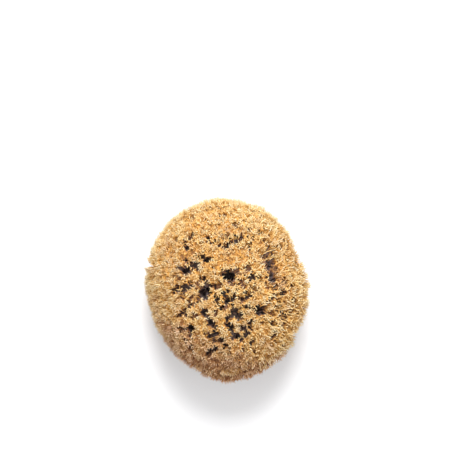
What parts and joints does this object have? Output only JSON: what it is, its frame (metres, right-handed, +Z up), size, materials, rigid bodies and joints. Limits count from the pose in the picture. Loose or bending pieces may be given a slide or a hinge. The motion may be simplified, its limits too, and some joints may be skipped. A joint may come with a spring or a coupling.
{
  "type": "sea sponge",
  "caption": "Round natural bath sponge: a tufted, springy dome with deep oscules on its face, cut off flat underneath.",
  "frame": {"origin": "middle of the plan, on the flat cut that the sponge rests on", "axes": "+Z up from the cut to the crown, +Y along the longer side of the plan, +X across it"},
  "size_m": [0.1054, 0.1168, 0.069],
  "materials": {
    "sponge_skeleton": "matt, fibrous"
  },
  "bodies": {
    "root": {"sponge": "sponge_skeleton"}
  },
  "joints": []
}
